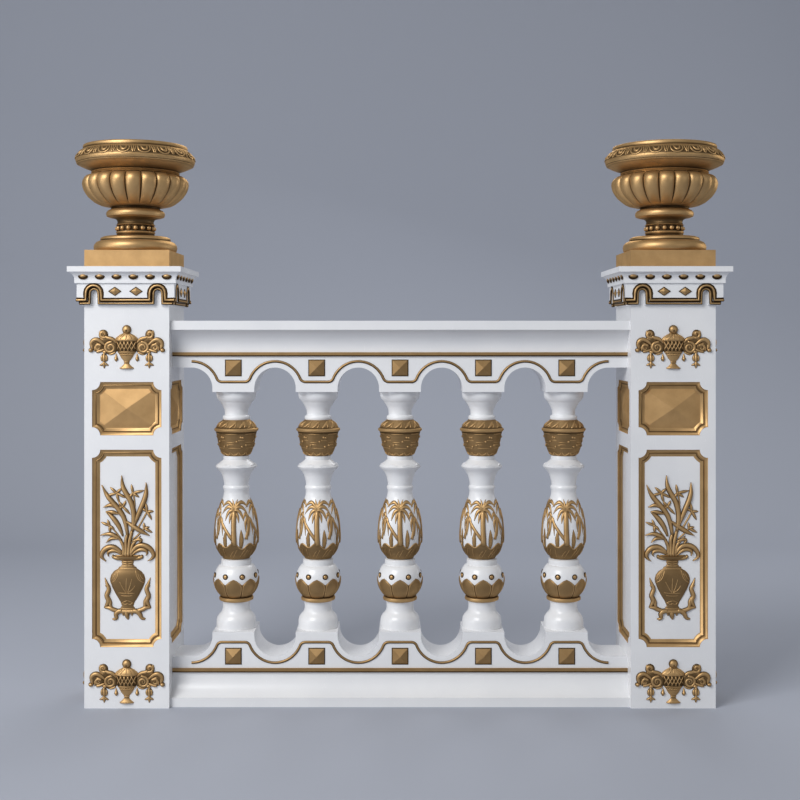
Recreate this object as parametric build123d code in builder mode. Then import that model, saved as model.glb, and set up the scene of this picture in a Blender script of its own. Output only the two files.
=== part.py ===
from build123d import *
from math import atan2, cos, degrees, radians, sin
import os

os.makedirs("parts", exist_ok=True)

# Overall sizes in millimetres. The origin is under the middle of the bay, -Y is the front.
post_spacing = 1480.0
post_width = 230.0
rail_height = 1050.0
baluster_count = 5

# Post shaft, which stands higher than the top rail, and the sunk panels on its four faces
shaft_rise = 42.0
panel_margin = 21.0
panel_notch_radius = 22.0
panel_frame_width = 19.0
panel_edge_depth = 5.0
panel_depth = 12.0
panels_apart = 39.0
diamond_panel_height = 144.5

# Pyramid boss that fills the upper panel, with its point a little proud of the face
boss_rise = 15.0

# Vase relief in the lower panel
vase_margin = 2.0
vase_relief = 10.0

# Cartouche relief above and below the panels
cartouche_margin = 11.0
cartouche_height = 121.0
cartouche_relief = 12.0
cartouche_gap = 33.0
upper_cartouche_drop = 54.0
lower_cartouche_bottom = 12.0

# Capital: arched corbel steps, frieze, fillet, cove and cornice slab
corbel_step_count = 3
corbel_step_rise = 5.6
corbel_step_out = 5.5
arch_inset = 29.0
arch_radius = 7.7
arch_springing = 32.0
frieze_height = 59.0
capital_fillet_height = 6.5
capital_fillet_out = 5.0
capital_cove_height = 23.5
capital_cove_out = 13.0
cornice_height = 14.5
cornice_out = 3.0

# Urn on its plinth
urn_plinth_height = 46.5
urn_foot_height = 127.5
urn_bowl_height = 168.5
gadroon_count = 20

# Rails: the bottom rail is the top rail turned over
slab_setback = 12.0
slab_height = 24.5
cove_lip = 4.0
cove_height = 61.5
arcade_setback = 50.0
arcade_band = 42.0
arch_leg = 10.3
block_width = 115.0
end_margin = 167.0
fillet_height = 10.5
fillet_proud = 5.0

# Gold pyramid stud on the rail over and under each baluster
stud_width = 45.0
stud_rise = 14.0
stud_drop = 129.0

# Turned baluster
baluster_radius = 62.0

# Outlines as shares of the width, radius or height that they follow, from the bottom upwards
baluster_foot_shares = [(0.89, 0.0), (0.855, 0.045), (0.66, 0.068), (0.605, 0.086), (0.64, 0.112)]
cup_ring_shares = [(0.64, 0.112), (0.77, 0.118), (0.77, 0.13), (0.67, 0.133)]
belly_low_angle = -48.0
belly_cup_angle = -6.0
belly_high_angle = 40.0
collar_shares = [(0.68, 0.005), (0.68, 0.03), (0.55, 0.037)]
bulb_shares = [(0.8, 0.08), (0.94, 0.13), (0.95, 0.19), (0.9, 0.266), (0.78, 0.322), (0.635, 0.373)]
neck_shares = [(0.56, 0.377), (0.56, 0.432), (0.6, 0.449), (0.545, 0.461)]
trumpet_shares = [(0.59, 0.494), (0.67, 0.527), (0.94, 0.564), (0.77, 0.589), (0.57, 0.607), (0.57, 0.63)]
basket_shares = [(0.57, 0.63), (0.73, 0.659), (0.92, 0.768), (1.0, 0.782), (0.61, 0.836)]
head_shares = [(0.61, 0.836), (0.61, 0.854), (0.52, 0.867), (0.66, 0.926), (0.87, 0.961), (0.9, 1.0)]

urn_radius_share = 1.426
urn_foot_shares = [
    (0.94, 0.0), (1.0, 0.07), (0.98, 0.16), (0.87, 0.24), (0.83, 0.3), (0.47, 0.36), (0.44, 0.45),
    (0.44, 0.66), (0.66, 0.77), (0.7, 0.83), (0.61, 0.93), (0.635, 1.0),
]
bowl_shares = [
    (0.445, 0.0), (0.616, 0.065), (0.683, 0.18), (0.72, 0.37), (0.72, 0.5), (0.745, 0.53), (0.72, 0.56)
]
rim_shares = [
    (0.74, 0.585), (0.79, 0.61), (0.93, 0.665), (0.985, 0.72), (1.0, 0.765), (0.975, 0.83),
    (0.9, 0.915), (0.88, 0.935), (0.87, 1.0),
]
hollow_shares = [(0.33, 0.218), (0.65, 0.48), (0.655, 0.6), (0.78, 1.0)]
gadroon_centre_shares = [(0.532, 0.371)]
gadroon_sweep_share = 0.234
gadroon_radius_share = 0.128
gadroon_tip_radius_share = 0.4
gadroon_tip_share = 0.5
gadroon_low_angle = -80.0
gadroon_high_angle = 20.0

vase_bottom_share = 0.133
vase_height_share = 0.737
vase_body_shares = [
    (0.0, 0.09), (0.11, 0.09), (0.305, 0.21), (0.33, 0.275), (0.27, 0.325), (0.17, 0.353),
    (0.106, 0.376), (0.106, 0.404), (0.263, 0.435), (0.247, 0.45), (0.0, 0.45),
]
vase_stand_shares = [
    (0.0, 0.0), (0.05, 0.06), (0.12, 0.06), (0.17, 0.0), (0.23, 0.0), (0.2, 0.09), (0.0, 0.09)
]
vase_bracket_shares = [
    (0.2, 0.06), (0.42, 0.09), (0.35, 0.14), (0.36, 0.19), (0.42, 0.278),
    (0.3, 0.2), (0.3, 0.15), (0.33, 0.1), (0.19, 0.09),
]
vase_plume_shares = [
    (0.1, 0.44), (0.28, 0.508), (0.445, 0.49), (0.49, 0.444),
    (0.4, 0.406), (0.425, 0.452), (0.308, 0.477), (0.205, 0.445),
]
tall_blade_shares = [
    (0.06, 0.44), (0.15, 0.66), (0.15, 0.73), (0.03, 0.87), (-0.11, 1.0),
    (-0.1, 0.91), (0.07, 0.74), (0.08, 0.66), (-0.06, 0.44),
]
left_blade_shares = [
    (0.03, 0.44), (0.0, 0.64), (-0.22, 0.8), (-0.47, 0.93),
    (-0.42, 0.86), (-0.16, 0.7), (-0.06, 0.62), (-0.06, 0.44),
]
right_blade_shares = [(0.06, 0.52), (0.3, 0.79), (0.38, 0.87), (0.34, 0.945), (0.32, 0.87), (0.1, 0.68)]
low_blade_shares = [(0.0, 0.66), (0.18, 0.61), (0.41, 0.58), (0.17, 0.63), (0.0, 0.7)]
folded_blade_shares = [(-0.09, 0.5), (-0.3, 0.66), (-0.42, 0.745), (-0.22, 0.69), (-0.04, 0.55)]

cartouche_body_shares = [
    (0.0, 0.0), (0.09, 0.0), (0.04, 0.157), (0.043, 0.215), (0.12, 0.355), (0.139, 0.645),
    (0.157, 0.665), (0.048, 0.797), (0.038, 0.85), (0.0, 0.85),
]
scroll_sides = 12
cartouche_finial_shares = [(0.0, 0.9)]
cartouche_volute_shares = [(0.21, 0.485)]
cartouche_curl_shares = [(0.31, 0.775)]
cartouche_ball_shares = [(0.465, 0.445)]
cartouche_finial_radius_share = 0.06
cartouche_volute_radius_share = 0.08
cartouche_curl_radius_share = 0.053
cartouche_ball_radius_share = 0.035
cartouche_arm_shares = [
    (0.13, 0.55), (0.2, 0.68), (0.3, 0.69), (0.33, 0.62), (0.42, 0.64),
    (0.48, 0.55), (0.49, 0.45), (0.45, 0.45), (0.4, 0.52), (0.3, 0.4),
]
cartouche_drop_shares = [
    (0.297, 0.5), (0.34, 0.3), (0.317, 0.2), (0.352, 0.1),
    (0.297, 0.037), (0.242, 0.1), (0.277, 0.2), (0.252, 0.3),
]

# Sizes worked out from those above
half_spacing = post_spacing / 2
half_post = post_width / 2
shaft_height = rail_height + shaft_rise
panel_width = post_width - 2 * panel_margin
cartouche_width = post_width - 2 * cartouche_margin
upper_cartouche_bottom = shaft_height - upper_cartouche_drop - cartouche_height
diamond_panel_bottom = upper_cartouche_bottom - cartouche_gap - diamond_panel_height
vase_panel_bottom = lower_cartouche_bottom + cartouche_height + cartouche_gap
vase_panel_height = diamond_panel_bottom - panels_apart - vase_panel_bottom
vase_bottom = vase_panel_bottom + vase_bottom_share * vase_panel_height
vase_height = vase_height_share * vase_panel_height
vase_width = panel_width - 2 * panel_frame_width - 2 * vase_margin
arch_spread = half_post - arch_inset
urn_foot_radius = half_post
urn_radius = urn_radius_share * half_post
clear_span = post_spacing - post_width
baluster_pitch = (clear_span - 2 * end_margin) / (baluster_count - 1)
rail_arch_radius = (baluster_pitch - block_width) / 2
rail_depth = slab_height + cove_height + arcade_band + rail_arch_radius + arch_leg
baluster_height = rail_height - 2 * rail_depth
baluster_places = [(place - (baluster_count - 1) / 2) * baluster_pitch for place in range(baluster_count)]
gap_middles = [(gap - baluster_count / 2) * baluster_pitch for gap in range(baluster_count + 1)]
end_straight = clear_span / 2 - gap_middles[-1]
panel_slope = degrees(atan2(panel_frame_width, panel_depth - panel_edge_depth))
arcade_depth = post_width - 2 * arcade_setback
slab_depth = post_width - 2 * slab_setback
frieze_half = half_post + corbel_step_count * corbel_step_out
urn_plinth_bottom = (
    shaft_height + frieze_height + capital_fillet_height + capital_cove_height + cornice_height
)
urn_bottom = urn_plinth_bottom + urn_plinth_height
bowl_bottom = urn_bottom + urn_foot_height
rail_middle = Plane.XY.offset(rail_height / 2)
up = Vector(0, 0, 1)
face_normals = [Vector(0, -1, 0), Vector(1, 0, 0), Vector(0, 1, 0), Vector(-1, 0, 0)]
posts = [("left", -half_spacing), ("right", half_spacing)]


def face_plane(post_x, normal, height, stand_off=0):
    """The plane of one post face, with its origin on the middle line and its Y axis upwards."""
    origin = Vector(post_x, 0, height) + normal * (half_post + stand_off)
    return Plane(origin=origin, x_dir=up.cross(normal), z_dir=normal)


def upright_section(centre_x, height=0, tilt=0):
    """An upright plane across the front, through a turned piece's axis, with its X axis tilted upwards."""
    x_dir = (cos(radians(tilt)), 0, sin(radians(tilt)))
    return Plane(origin=(centre_x, 0, height), x_dir=x_dir, z_dir=(0, -1, 0))


def notched_panel(height):
    """A panel outline with its four corners hollowed out."""
    Rectangle(panel_width, height)
    with GridLocations(panel_width, height, 2, 2):
        Circle(panel_notch_radius, mode=Mode.SUBTRACT)


def at_shares(shares, width, height, bottom=0):
    """The points of an outline, worked out from its shares."""
    return [(across * width, bottom + along * height) for across, along in shares]


def mirrored_polygon(shares, width, height):
    """A closed outline and its mirror image on the other side of the middle line."""
    points = at_shares(shares, width, height)
    Polygon(*points, align=None)
    Polygon(*[(-across, along) for across, along in reversed(points)], align=None)


def mirrored_disc(shares, width, height, radius_share):
    """A round of a scroll and its mirror image on the other side of the middle line."""
    for across, along in at_shares(shares, width, height):
        with Locations((across, along), (-across, along)):
            RegularPolygon(radius_share * width, scroll_sides)


# Posts: each shaft is one casting with two sunk panels on every face, with a square edge and a sloping frame
for side, post_x in posts:
    with BuildPart() as post_shaft:
        with BuildSketch(Plane((post_x, 0, 0))):
            Rectangle(post_width, post_width)
        extrude(amount=shaft_height)
        for normal in face_normals:
            for bottom, height in (
                (diamond_panel_bottom, diamond_panel_height),
                (vase_panel_bottom, vase_panel_height),
            ):
                middle = bottom + height / 2
                with BuildSketch(face_plane(post_x, normal, middle)):
                    notched_panel(height)
                extrude(amount=-panel_edge_depth, mode=Mode.SUBTRACT)
                with BuildSketch(face_plane(post_x, normal, middle, -panel_edge_depth)):
                    notched_panel(height)
                extrude(amount=panel_edge_depth - panel_depth, taper=panel_slope, mode=Mode.SUBTRACT)
    post_shaft.part.label = f"{side}_post_shaft"
    export_step(post_shaft.part, f"parts/{side}_post_shaft.step")

# Pyramid boss, drawn once with its back at zero: four flat slopes, cut to the panel's hollowed corners
boss_width = panel_width - 2 * panel_frame_width
boss_height = diamond_panel_height - 2 * panel_frame_width
with BuildPart() as boss:
    with BuildSketch(Plane.XZ):
        Polygon((-boss_width / 2, 0), (boss_width / 2, 0), (0, boss_rise), align=None)
    extrude(amount=boss_height / 2, both=True)
    with BuildSketch(Plane.YZ):
        Polygon((-boss_height / 2, 0), (boss_height / 2, 0), (0, boss_rise), align=None)
    extrude(amount=boss_width / 2, both=True, mode=Mode.INTERSECT)
    with BuildSketch():
        with GridLocations(panel_width, diamond_panel_height, 2, 2):
            Circle(panel_notch_radius + panel_frame_width)
    extrude(amount=boss_rise, mode=Mode.SUBTRACT)

for side, post_x in posts:
    middle = diamond_panel_bottom + diamond_panel_height / 2
    with BuildPart() as bosses:
        for normal in face_normals:
            with Locations(face_plane(post_x, normal, middle, -panel_depth)):
                add(boss.part)
    bosses.part.label = f"{side}_pyramid_bosses"
    export_step(bosses.part, f"parts/{side}_pyramid_bosses.step")

# Vase reliefs: a vase on its stand with plumes and a fan of blades, on the floor of each lower panel
for side, post_x in posts:
    with BuildPart() as vases:
        for normal in face_normals:
            with BuildSketch(face_plane(post_x, normal, vase_bottom, -panel_depth)):
                for shares in (vase_body_shares, vase_stand_shares, vase_bracket_shares, vase_plume_shares):
                    mirrored_polygon(shares, vase_width, vase_height)
                for shares in (
                    tall_blade_shares,
                    left_blade_shares,
                    right_blade_shares,
                    low_blade_shares,
                    folded_blade_shares,
                ):
                    Polygon(*at_shares(shares, vase_width, vase_height), align=None)
            extrude(amount=vase_relief)
    vases.part.label = f"{side}_vase_reliefs"
    export_step(vases.part, f"parts/{side}_vase_reliefs.step")

# Cartouches: a lidded cup between scrolls with a drop, on the faces that no rail meets
for side, post_x in posts:
    rail_normal = Vector(-1, 0, 0) if post_x > 0 else Vector(1, 0, 0)
    with BuildPart() as cartouches:
        for normal in face_normals:
            if normal != rail_normal:
                for bottom in (upper_cartouche_bottom, lower_cartouche_bottom):
                    with BuildSketch(face_plane(post_x, normal, bottom)):
                        for shares in (cartouche_body_shares, cartouche_arm_shares, cartouche_drop_shares):
                            mirrored_polygon(shares, cartouche_width, cartouche_height)
                        for shares, radius_share in (
                            (cartouche_finial_shares, cartouche_finial_radius_share),
                            (cartouche_volute_shares, cartouche_volute_radius_share),
                            (cartouche_curl_shares, cartouche_curl_radius_share),
                            (cartouche_ball_shares, cartouche_ball_radius_share),
                        ):
                            mirrored_disc(shares, cartouche_width, cartouche_height, radius_share)
                    extrude(amount=cartouche_relief)
    cartouches.part.label = f"{side}_cartouches"
    export_step(cartouches.part, f"parts/{side}_cartouches.step")

# Capitals: a moulded cornice over a frieze whose corbel steps turn up round two arches on every face
for side, post_x in posts:
    frieze_top = shaft_height + frieze_height
    fillet_top = frieze_top + capital_fillet_height
    cove_top = fillet_top + capital_cove_height
    cornice_top = cove_top + cornice_height
    fillet_half = frieze_half + capital_fillet_out
    cove_half = fillet_half + capital_cove_out
    cornice_half = cove_half + cornice_out
    with BuildPart() as capital:
        for section, mode in ((Plane.XZ, Mode.ADD), (Plane.YZ, Mode.INTERSECT)):
            with BuildSketch(Plane(origin=(post_x, 0, 0), x_dir=section.x_dir, z_dir=section.z_dir)):
                with BuildLine():
                    edge = Polyline((0, frieze_top), (fillet_half, frieze_top), (fillet_half, fillet_top))
                    cove = RadiusArc(edge @ 1, (cove_half, cove_top), capital_cove_height)
                    Polyline(
                        cove @ 1,
                        (cornice_half, cove_top),
                        (cornice_half, cornice_top),
                        (0, cornice_top),
                        (0, frieze_top),
                    )
                make_face()
                mirror(about=Plane.YZ)
            extrude(amount=cornice_half, both=True, mode=mode)
        with BuildSketch(Plane((post_x, 0, shaft_height))):
            Rectangle(post_width, post_width)
        extrude(amount=frieze_height)
        for step in range(corbel_step_count):
            inner = post_width + 2 * step * corbel_step_out
            outer = inner + 2 * corbel_step_out
            rise = step * corbel_step_rise
            with BuildSketch(Plane((post_x, 0, shaft_height + rise))):
                Rectangle(outer, outer)
                Rectangle(inner, inner, mode=Mode.SUBTRACT)
            extrude(amount=frieze_height - rise)
            for normal in face_normals:
                radius = arch_radius + step * corbel_step_rise
                with BuildSketch(face_plane(post_x, normal, shaft_height, step * corbel_step_out)):
                    with Locations((-arch_spread, arch_springing), (arch_spread, arch_springing)):
                        Circle(radius)
                        Rectangle(2 * radius, arch_springing, align=(Align.CENTER, Align.MAX))
                extrude(amount=corbel_step_out, mode=Mode.SUBTRACT)
    capital.part.label = f"{side}_capital"
    export_step(capital.part, f"parts/{side}_capital.step")

# Urn plinths: square blocks on the cornices
for side, post_x in posts:
    with BuildPart() as urn_plinth:
        with BuildSketch(Plane((post_x, 0, urn_plinth_bottom))):
            Rectangle(post_width, post_width)
        extrude(amount=urn_plinth_height)
    urn_plinth.part.label = f"{side}_urn_plinth"
    export_step(urn_plinth.part, f"parts/{side}_urn_plinth.step")

# Urn feet: turned, with a round base, a step, a waist and a round collar under the bowl
with BuildPart() as urn_feet:
    for side, post_x in posts:
        with BuildSketch(upright_section(post_x)):
            outline = at_shares(urn_foot_shares, urn_foot_radius, urn_foot_height, urn_bottom)
            with BuildLine():
                Polyline((0, urn_bottom), *outline, (0, bowl_bottom), close=True)
            make_face()
        revolve(axis=Axis((post_x, 0, 0), up))
urn_feet.part.label = "urn_feet"
export_step(urn_feet.part, "parts/urn_feet.step")

# Gadroon, drawn once: a round lobe swept up the bowl from under it, drawn in at its upper end
sweep_out, sweep_level = at_shares(gadroon_centre_shares, urn_radius, urn_bowl_height, bowl_bottom)[0]
sweep_radius = gadroon_sweep_share * urn_radius
gadroon_radius = gadroon_radius_share * urn_radius
gadroon_tip_radius = gadroon_tip_radius_share * gadroon_radius
gadroon_tip = gadroon_tip_share * gadroon_radius
end_up = (Align.CENTER, Align.CENTER, Align.MIN)
with BuildPart() as gadroon:
    with Locations(upright_section(sweep_out, sweep_level, gadroon_low_angle)):
        Torus(sweep_radius, gadroon_radius, major_angle=gadroon_high_angle - gadroon_low_angle, align=None)
    with Locations(upright_section(sweep_out, sweep_level, gadroon_high_angle)):
        with Locations(Location((sweep_radius, 0, 0), (-90, 0, 0))):
            Cone(gadroon_radius, gadroon_tip_radius, gadroon_tip, align=end_up)

# Urn bowl, drawn once on the middle axis: a ring of gadroons under a neck and a flared rim, and hollow
with BuildPart() as urn_bowl:
    with BuildSketch(upright_section(0)):
        outline = at_shares(bowl_shares + rim_shares, urn_radius, urn_bowl_height, bowl_bottom)
        with BuildLine():
            Polyline((0, bowl_bottom), *outline, (0, outline[-1][1]), close=True)
        make_face()
    revolve(axis=Axis.Z)
    with PolarLocations(0, gadroon_count, start_angle=180 / gadroon_count):
        add(gadroon.part)
    with BuildSketch(upright_section(0)):
        outline = at_shares(hollow_shares, urn_radius, urn_bowl_height, bowl_bottom)
        with BuildLine():
            Polyline((0, outline[0][1]), *outline, (0, outline[-1][1]), close=True)
        make_face()
    revolve(axis=Axis.Z, mode=Mode.SUBTRACT)

with BuildPart() as urn_bowls:
    with Locations(*[(post_x, 0, 0) for side, post_x in posts]):
        add(urn_bowl.part)
urn_bowls.part.label = "urn_bowls"
export_step(urn_bowls.part, "parts/urn_bowls.step")

# Top rail: a coved slab over a beam cut into arches, with a block left over each baluster
springing = rail_height - rail_depth + arch_leg
crown = springing + rail_arch_radius
block_foot = rail_height - rail_depth
beam_top = rail_height - slab_height - cove_height
with BuildPart() as top_rail:
    with BuildSketch(Plane.YZ):
        with BuildLine():
            slab = Polyline(
                (0, rail_height),
                (slab_depth / 2, rail_height),
                (slab_depth / 2, rail_height - slab_height),
                (slab_depth / 2 - cove_lip, rail_height - slab_height),
            )
            cove = RadiusArc(slab @ 1, (arcade_depth / 2, beam_top), -cove_height)
            Polyline(cove @ 1, (0, beam_top), (0, rail_height))
        make_face()
        mirror(about=Plane.YZ)
    extrude(amount=clear_span / 2, both=True)
    with BuildSketch(Plane.XZ):
        with Locations((0, beam_top)):
            Rectangle(clear_span, beam_top - block_foot, align=(Align.CENTER, Align.MAX))
        with Locations(*[(middle, springing) for middle in gap_middles]):
            Circle(rail_arch_radius, mode=Mode.SUBTRACT)
            Rectangle(2 * rail_arch_radius, arch_leg, align=(Align.CENTER, Align.MAX), mode=Mode.SUBTRACT)
        for end in (-1, 1):
            with Locations((end * (clear_span - end_straight) / 2, block_foot)):
                end_size = (end_straight, crown - block_foot)
                Rectangle(*end_size, align=(Align.CENTER, Align.MIN), mode=Mode.SUBTRACT)
    extrude(amount=arcade_depth / 2, both=True)
top_rail.part.label = "top_rail"
export_step(top_rail.part, "parts/top_rail.step")

# Gold fillet strips along both faces of the beam, under the cove
with BuildPart() as top_fillets:
    for face in (-1, 1):
        with BuildSketch(Plane((0, face * (arcade_depth + fillet_proud) / 2, beam_top - fillet_height))):
            Rectangle(clear_span, fillet_proud)
        extrude(amount=fillet_height)
top_fillets.part.label = "top_rail_fillets"
export_step(top_fillets.part, "parts/top_rail_fillets.step")

# Gold pyramid stud, drawn once with its back at zero
with BuildPart() as stud:
    with BuildSketch(Plane.XZ):
        Polygon((-stud_width / 2, 0), (stud_width / 2, 0), (0, stud_rise), align=None)
    extrude(amount=stud_width / 2, both=True)
    with BuildSketch(Plane.YZ):
        Polygon((-stud_width / 2, 0), (stud_width / 2, 0), (0, stud_rise), align=None)
    extrude(amount=stud_width / 2, both=True, mode=Mode.INTERSECT)

# Gold studs on both faces of the beam, over each baluster
with BuildPart() as top_studs:
    for normal in (face_normals[0], face_normals[2]):
        for place in baluster_places:
            origin = Vector(place, 0, rail_height - stud_drop) + normal * (arcade_depth / 2)
            face = Plane(origin=origin, x_dir=up.cross(normal), z_dir=normal)
            with Locations(face):
                add(stud.part)
top_studs.part.label = "top_rail_studs"
export_step(top_studs.part, "parts/top_rail_studs.step")

# The bottom rail and its trim are the top rail's, turned over about the middle of the height
for name, upper in (("rail", top_rail), ("rail_fillets", top_fillets), ("rail_studs", top_studs)):
    with BuildPart() as lower:
        mirror(upper.part, about=rail_middle)
    lower.part.label = f"bottom_{name}"
    export_step(lower.part, f"parts/bottom_{name}.step")

# Balusters, turned in five pieces that stand on each other between the blocks of the two rails.
# The belly is round, so the foot's share of the height sets its place, and the rest is measured above it.
cup_ring = at_shares(cup_ring_shares, baluster_radius, baluster_height, rail_depth)
belly_centre = (0, cup_ring[-1][1] - baluster_radius * sin(radians(belly_low_angle)))
belly_top = belly_centre[1] + baluster_radius * sin(radians(belly_high_angle))
belly_turn = belly_high_angle - belly_cup_angle
cup_turn = belly_cup_angle - belly_low_angle
upper_height = rail_depth + baluster_height - belly_top

# Turned pieces with straight outlines: the foot, the basket and the head
for name, outline in (
    ("feet", at_shares(baluster_foot_shares, baluster_radius, baluster_height, rail_depth)),
    ("baskets", at_shares(basket_shares, baluster_radius, upper_height, belly_top)),
    ("heads", at_shares(head_shares, baluster_radius, upper_height, belly_top)),
):
    with BuildPart() as turnings:
        for place in baluster_places:
            with BuildSketch(upright_section(place)):
                with BuildLine():
                    Polyline((0, outline[0][1]), *outline, (0, outline[-1][1]), close=True)
                make_face()
            revolve(axis=Axis((place, 0, 0), up))
    turnings.part.label = f"baluster_{name}"
    export_step(turnings.part, f"parts/baluster_{name}.step")

# Gold lotus cup: a ring and the lower part of the round belly
with BuildPart() as cups:
    for place in baluster_places:
        with BuildSketch(upright_section(place)):
            with BuildLine():
                bowl = CenterArc(belly_centre, baluster_radius, belly_low_angle, cup_turn)
                Polyline(bowl @ 1, (0, (bowl @ 1).Y), (0, cup_ring[0][1]), *cup_ring[:-1], bowl @ 0)
            make_face()
        revolve(axis=Axis((place, 0, 0), up))
cups.part.label = "baluster_cups"
export_step(cups.part, "parts/baluster_cups.step")

# White body: the rest of the belly, a collar, the long bulb, a neck with a ring, and a trumpet under a skirt
with BuildPart() as bodies:
    for place in baluster_places:
        with BuildSketch(upright_section(place)):
            body_shares = collar_shares + bulb_shares + neck_shares + trumpet_shares
            outline = at_shares(body_shares, baluster_radius, upper_height, belly_top)
            with BuildLine():
                belly = CenterArc(belly_centre, baluster_radius, belly_cup_angle, belly_turn)
                Polyline(belly @ 1, *outline, (0, outline[-1][1]), (0, (belly @ 0).Y), belly @ 0)
            make_face()
        revolve(axis=Axis((place, 0, 0), up))
bodies.part.label = "baluster_bodies"
export_step(bodies.part, "parts/baluster_bodies.step")
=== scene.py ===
from math import asin, atan2, cos, hypot, pi, radians, sin, sqrt

import bpy
from mathutils import Matrix, Vector


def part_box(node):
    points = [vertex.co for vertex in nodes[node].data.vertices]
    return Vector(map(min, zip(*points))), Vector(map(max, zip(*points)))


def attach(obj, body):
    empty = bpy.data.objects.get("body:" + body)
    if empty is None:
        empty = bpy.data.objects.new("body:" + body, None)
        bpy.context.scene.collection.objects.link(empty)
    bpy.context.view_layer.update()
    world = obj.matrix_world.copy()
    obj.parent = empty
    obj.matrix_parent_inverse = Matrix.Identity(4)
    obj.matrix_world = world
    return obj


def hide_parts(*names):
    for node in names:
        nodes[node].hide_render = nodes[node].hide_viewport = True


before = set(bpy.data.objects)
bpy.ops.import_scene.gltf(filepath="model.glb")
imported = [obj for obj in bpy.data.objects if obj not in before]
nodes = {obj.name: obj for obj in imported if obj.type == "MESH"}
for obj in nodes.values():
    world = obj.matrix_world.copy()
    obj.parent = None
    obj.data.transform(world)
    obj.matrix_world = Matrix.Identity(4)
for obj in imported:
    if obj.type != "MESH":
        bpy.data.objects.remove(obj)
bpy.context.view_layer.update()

# The view: square on to the bay from just below the top of the rail, with the frame dropped a little
# so that the ground shows as well as the urns.
eye_distance = 3.503
eye_height = 0.999


def deselect():
    bpy.ops.object.select_all(action="DESELECT")


deselect()
bpy.ops.object.camera_add(location=(0, -eye_distance, eye_height), rotation=(pi / 2, 0, 0))
camera = bpy.context.object
camera.data.lens = 56.3
camera.data.shift_y = -0.0756
bpy.context.scene.camera = camera
bpy.context.scene.view_settings.view_transform = "Standard"

# The studio: a pale sweep of floor and back wall in one bent sheet, a large soft key at the upper left,
# and weaker lamps at both sides and behind.
mm = 0.001
sweep_half = 60.0
sweep_back = 4.0
sweep_height = 9.0
sweep_bend = 1.5
bpy.ops.mesh.primitive_plane_add(size=2 * sweep_half, location=(0, sweep_back - sweep_half, 0))
sweep = bpy.context.object
sweep.name = "studio_sweep"
bpy.ops.object.mode_set(mode="EDIT")
bpy.ops.mesh.select_mode(type="EDGE")
for shaping in ("raise", "bend"):
    bpy.ops.mesh.select_all(action="DESELECT")
    bpy.ops.object.mode_set(mode="OBJECT")
    for edge in sweep.data.edges:
        ends = [sweep.data.vertices[end].co for end in edge.vertices]
        edge.select = all(end.y > 0 and abs(end.z) < mm for end in ends)
    bpy.ops.object.mode_set(mode="EDIT")
    if shaping == "raise":
        bpy.ops.mesh.extrude_region_move(TRANSFORM_OT_translate={"value": (0, 0, sweep_height)})
    else:
        bpy.ops.mesh.bevel(offset=sweep_bend, segments=16, affect="EDGES")
bpy.ops.object.mode_set(mode="OBJECT")
bpy.ops.object.shade_smooth()


def new_material(name):
    """A new material, with its node tree and its shader."""
    material = bpy.data.materials.new(name)
    material.use_nodes = True
    return material, material.node_tree, material.node_tree.nodes["Principled BSDF"]


def paint(piece, material):
    piece.data.materials.clear()
    piece.data.materials.append(material)


sweep_paper, _, paper = new_material("sweep_paper")
paper.inputs["Base Color"].default_value = (0.4, 0.425, 0.49, 1)
paper.inputs["Roughness"].default_value = 0.9
paint(sweep, sweep_paper)

for name, place, aim, size, watts in (
    ("key_light", (-2.8, -3.6, 3.8), (0, 0, 0.7), 2.6, 208),
    ("side_light", (-4.2, -2.6, 1.1), (0, 0, 0.7), 2.2, 40),
    ("fill_light", (3.4, -3.6, 1.8), (0, 0, 0.7), 2.5, 12),
    ("back_light", (0.6, 2.6, 3.2), (0, 0, 0.9), 2.0, 35),
    ("end_light", (4.2, 1.6, 1.8), (0, 0, 0.7), 2.0, 30),
):
    bpy.ops.object.light_add(type="AREA", location=place)
    lamp = bpy.context.object
    lamp.name = name
    lamp.data.size = size
    lamp.data.energy = watts
    lamp.rotation_euler = (Vector(aim) - Vector(place)).to_track_quat("-Z", "Y").to_euler()
world = bpy.data.worlds.new("studio_world")
world.use_nodes = True
world.node_tree.nodes["Background"].inputs["Color"].default_value = (0.95, 0.97, 1.0, 1)
world.node_tree.nodes["Background"].inputs["Strength"].default_value = 0.28
bpy.context.scene.world = world

# Post shafts: cast concrete under several coats of white gloss enamel, laid on with a brush. The paint
# pools and yellows a very little, and its brush marks run down the post.
sides = ("left", "right")


def add_node(tree, kind, **inputs):
    """Adds a shader node with these inputs, whose names have underscores for spaces."""
    node = tree.nodes.new(f"ShaderNode{kind}")
    for name, value in inputs.items():
        node.inputs[name.replace("_", " ")].default_value = value
    return node


def add_tints(tree, *stops):
    """Adds a ramp between two tints, each with its place on the ramp."""
    ramp = add_node(tree, "ValToRGB")
    for element, (position, tint) in zip(ramp.color_ramp.elements, stops):
        element.position = position
        element.color = tint
    return ramp


def wire(tree, *links):
    """Joins the outputs of nodes to the inputs of others."""
    for giver, output, taker, socket in links:
        tree.links.new(giver.outputs[output], taker.inputs[socket])


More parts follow.
